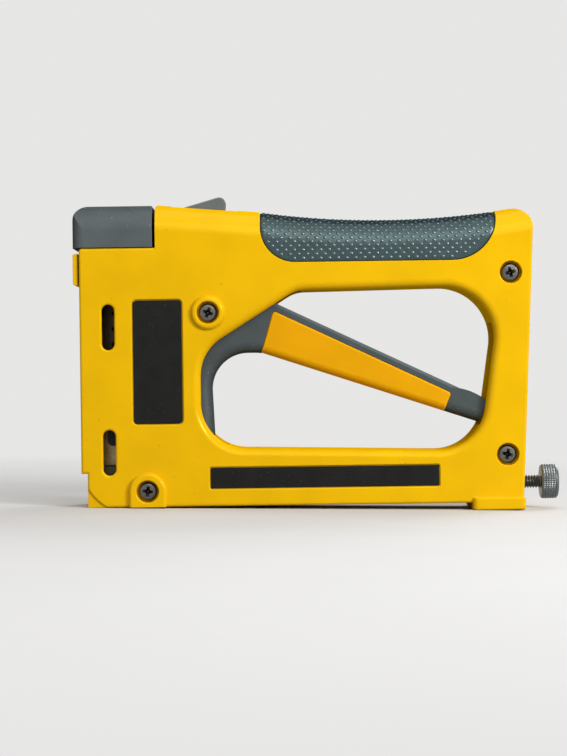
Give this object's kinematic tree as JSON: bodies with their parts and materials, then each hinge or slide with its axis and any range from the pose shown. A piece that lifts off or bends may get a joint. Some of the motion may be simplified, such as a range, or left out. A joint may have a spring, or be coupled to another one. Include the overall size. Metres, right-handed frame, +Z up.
{
  "type": "picture framing point driver",
  "caption": "Hand-squeezed point driver for picture frames: housing halves round a hand loop, squeeze lever, spring striker, point magazine and tension screw.",
  "frame": {"origin": "centre of the tool's box, on the surface that the rear foot stands on", "axes": "+X from the nose to the tension screw, +Y from the left half to the right half, +Z up"},
  "size_m": [0.1878, 0.032, 0.1226],
  "materials": {
    "housing_paint": "gloss",
    "core_yellow": "gloss",
    "dark_plastic": "satin",
    "grip_rubber": "matte",
    "label_black": "satin",
    "dark_steel": "satin",
    "plain_steel": "satin",
    "spring_steel": "satin"
  },
  "bodies": {
    "housing": {"left_housing": "housing_paint", "right_housing": "housing_paint", "points_label": "label_black", "base_label": "label_black", "grip_pad": "grip_rubber", "case_screw_1": "dark_steel", "case_screw_2": "dark_steel", "case_screw_3": "dark_steel", "case_screw_4": "dark_steel", "lever_bushing": "plain_steel", "lever_return_spring": "spring_steel", "nose_plate": "housing_paint", "driver_track": "plain_steel", "drive_spring": "spring_steel", "tension_nut": "plain_steel", "magazine_guide": "plain_steel"},
    "lever": {"lever": "dark_plastic", "lever_core": "core_yellow"},
    "striker": {"striker_blade": "plain_steel", "striker_block": "plain_steel"},
    "cap": {"magazine_cap": "dark_plastic", "spring_rod": "plain_steel", "follower_spring": "spring_steel"},
    "follower": {"follower": "dark_plastic"},
    "seat": {"tension_seat": "plain_steel"},
    "thumbscrew": {"thumbscrew": "dark_steel"},
    "thumb_slide": {"thumb_slide": "dark_plastic"}
  },
  "joints": [
    {"name": "lever_squeeze", "type": "hinge", "parent": "housing", "child": "lever", "pos_m": [-0.04175, 0, 0.07735], "axis": [0, -1, 0], "range_deg": [0, 14], "stiffness_Nm_per_rad": 1.2, "springref_deg": -17.19},
    {"name": "striker_draw", "type": "slide", "parent": "housing", "child": "striker", "axis": [1, 0, 0], "range_m": [0, 0.01613], "deforming": ["drive_spring"]},
    {"name": "cap_lift", "type": "slide", "parent": "housing", "child": "cap", "axis": [0, 0, 1], "range_m": [0, 0.08]},
    {"name": "follower_rise", "type": "slide", "parent": "cap", "child": "follower", "axis": [0, 0, 1], "range_m": [0, 0.036], "stiffness_N_per_m": 15, "springref_m": -0.03, "deforming": ["follower_spring"]},
    {"name": "tension_travel", "type": "slide", "parent": "housing", "child": "seat", "axis": [-1, 0, 0], "range_m": [0, 0.005]},
    {"name": "tension_turn", "type": "hinge", "parent": "seat", "child": "thumbscrew", "pos_m": [0.0871, 0, 0.01], "axis": [-1, 0, 0], "range_deg": [0, 1702]},
    {"name": "thumb_slide_move", "type": "slide", "parent": "housing", "child": "thumb_slide", "axis": [0.9968, 0, -0.0794], "range_m": [-0.005, 0.005]}
  ],
  "couplings": [
    {"joint": "striker_draw", "follows": "lever_squeeze", "m_per_rad": 0.0656},
    {"joint": "tension_turn", "follows": "tension_travel", "rad_per_m": 5938.7}
  ]
}
